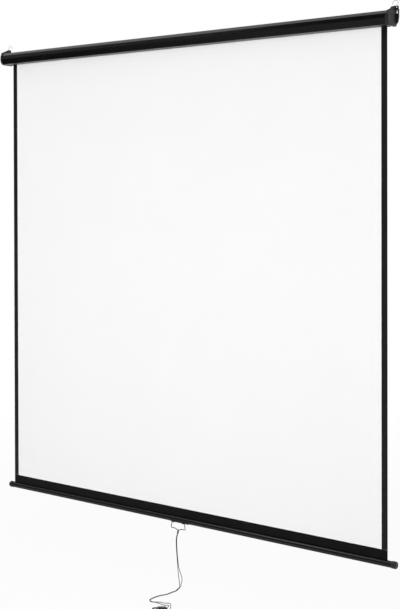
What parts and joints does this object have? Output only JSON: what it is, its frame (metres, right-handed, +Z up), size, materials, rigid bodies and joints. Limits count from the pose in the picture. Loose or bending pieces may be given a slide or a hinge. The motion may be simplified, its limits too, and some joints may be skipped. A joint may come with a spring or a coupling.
{
  "type": "pull-down projection screen",
  "caption": "Pull-down projection screen: black case on a spring roller, square white matt fabric with black border, round weight bar, wire bail and doubled pull cord.",
  "frame": {"origin": "on the flat back of the case, at the middle of its length and height", "axes": "+X along the case to the viewer's right, +Y into the wall, +Z up"},
  "size_m": [2.116, 0.3477, 2.4117],
  "materials": {
    "black_enamel": "glossy black enamel",
    "black_plastic": "satin moulded plastic",
    "white_fabric": "matt white with black-backed side borders",
    "black_fabric": "matt black coated cloth",
    "zinc": "bright zinc plate",
    "steel": "plain steel",
    "nylon": "natural nylon",
    "black_wire": "black coated wire",
    "black_cord": "braided black cord"
  },
  "bodies": {
    "case": {"casing": "black_enamel", "left_end_cap": "black_plastic", "right_end_cap": "black_plastic", "left_cap_screw_top": "zinc", "left_cap_screw_bottom": "zinc", "right_cap_screw_top": "zinc", "right_cap_screw_bottom": "zinc", "idle_bush": "nylon", "ratchet_hub": "zinc", "spring_shaft": "steel", "shaft_holder": "steel", "spring_collar": "zinc", "roller_spring": "steel"},
    "roller": {"roller_tube": "steel", "wound_fabric": "black_fabric", "idle_plug": "nylon", "idle_pin": "steel", "roller_end_plug": "nylon", "pawl_pin_a": "steel", "pawl_pin_b": "steel", "spring_anchor_plug": "nylon"},
    "pawl_a": {"pawl_a": "zinc"},
    "pawl_b": {"pawl_b": "zinc"},
    "bar": {"viewing_fabric": "white_fabric", "bottom_leader": "black_fabric", "weight_bar": "black_enamel", "hem_rod": "steel", "left_bar_cap": "black_plastic", "right_bar_cap": "black_plastic", "pull_clip": "black_plastic", "left_clip_screw": "zinc", "right_clip_screw": "zinc"},
    "bail": {"wire_bail": "black_wire"},
    "cord": {"cord_knot": "black_cord", "cord_strand_a": "black_cord", "cord_strand_b": "black_cord", "cord_hank": "black_cord", "hank_wrap": "black_cord"},
    "left_hook": {"left_s_hook": "zinc"},
    "right_hook": {"right_s_hook": "zinc"}
  },
  "joints": [
    {"name": "screen_travel", "type": "slide", "parent": "case", "child": "bar", "axis": [0, 0, 1], "range_m": [0, 2.0125], "deforming": ["viewing_fabric"]},
    {"name": "roller_turn", "type": "hinge", "parent": "case", "child": "roller", "pos_m": [0, -0.0359, 0], "axis": [1, 0, 0], "range_deg": [0, 5060]},
    {"name": "pawl_a_drop", "type": "hinge", "parent": "roller", "child": "pawl_a", "pos_m": [1.0244, -0.023, 0.0085], "axis": [1, 0, 0], "range_deg": [-10, 0]},
    {"name": "pawl_b_drop", "type": "hinge", "parent": "roller", "child": "pawl_b", "pos_m": [1.0244, -0.0488, -0.0085], "axis": [1, 0, 0], "range_deg": [-10, 0]},
    {"name": "bail_swing", "type": "hinge", "parent": "bar", "child": "bail", "pos_m": [0.01, -0.02914, -2.06713], "axis": [1, 0, 0], "range_deg": [-100, 36]},
    {"name": "pull_cord", "type": "hinge", "parent": "bail", "child": "cord", "pos_m": [0.01, -0.02914, -2.10163], "axis": [1, 0, 0], "range_deg": [-36, 100]},
    {"name": "left_hook_swing", "type": "hinge", "parent": "case", "child": "left_hook", "pos_m": [-1.05, -0.00525, 0.04832], "axis": [1, 0, 0], "range_deg": [-8, 65]},
    {"name": "right_hook_swing", "type": "hinge", "parent": "case", "child": "right_hook", "pos_m": [1.05, -0.00525, 0.04832], "axis": [1, 0, 0], "range_deg": [-8, 65]}
  ],
  "couplings": [
    {"joint": "roller_turn", "follows": "screen_travel", "rad_per_m": 43.85},
    {"joint": "pull_cord", "follows": "bail_swing", "ratio": -1}
  ]
}
